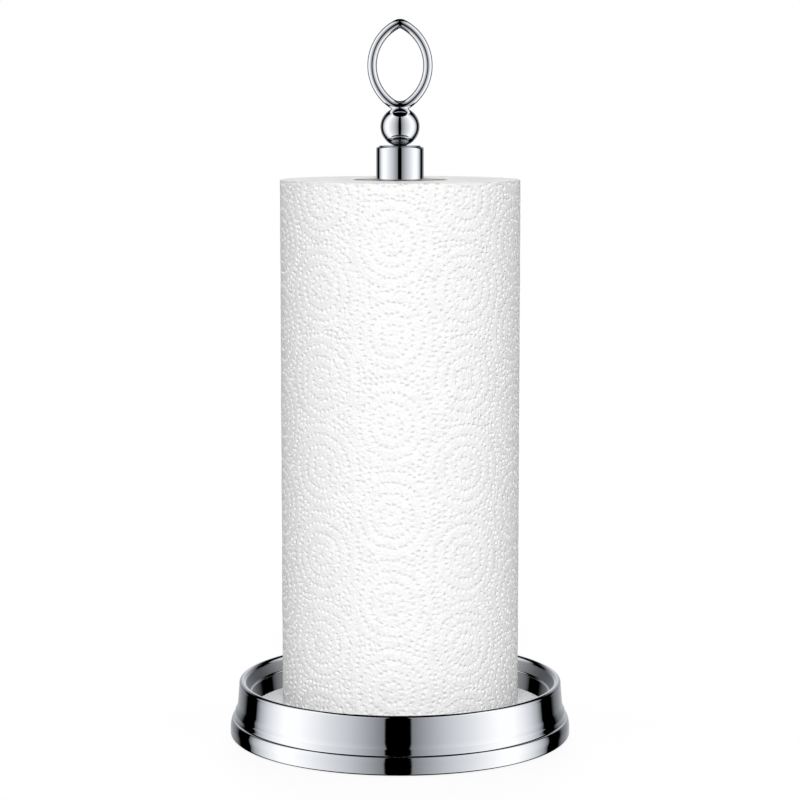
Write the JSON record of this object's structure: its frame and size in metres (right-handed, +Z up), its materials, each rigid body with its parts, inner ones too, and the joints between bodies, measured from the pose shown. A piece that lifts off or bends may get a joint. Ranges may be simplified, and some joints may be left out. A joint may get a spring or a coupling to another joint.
{
  "type": "paper towel holder",
  "caption": "Free-standing chrome paper towel holder with a round moulded tray base, a post with a ball and pointed loop finial, and an embossed towel roll that turns and lifts off.",
  "frame": {"origin": "middle of the underside of the foot ring, on the surface that the holder stands on", "axes": "+Z up along the post, +X to the right across the finial's loop, -Y towards the viewer"},
  "size_m": [0.1792, 0.1792, 0.3743],
  "materials": {
    "chrome": "polished",
    "satin_steel": "satin",
    "plain_steel": "satin",
    "fastener_steel": "satin",
    "cast_iron": "matte",
    "foot_rubber": "matte",
    "core_board": "matte",
    "towel_paper": "matte"
  },
  "bodies": {
    "holder": {"base_skirt": "chrome", "tray_rim": "chrome", "floor_plate": "satin_steel", "base_weight": "cast_iron", "bottom_cover": "plain_steel", "foot_ring": "foot_rubber", "post_bolt": "fastener_steel", "spring_washer": "fastener_steel", "flat_washer": "fastener_steel", "post_insert": "plain_steel", "post_tube": "chrome", "post_plug": "chrome", "finial_stud": "fastener_steel", "finial_ball": "chrome", "finial_loop": "chrome"},
    "core": {"cardboard_core": "core_board"},
    "towel": {"paper_roll": "towel_paper"}
  },
  "joints": [
    {"name": "roll_lift", "type": "slide", "parent": "holder", "child": "core", "axis": [0, 0, 1], "range_m": [0, 0.37]},
    {"name": "roll_spin", "type": "hinge", "parent": "core", "child": "towel", "pos_m": [0, 0, 0.1526], "axis": [0, 0, 1], "continuous": true}
  ]
}
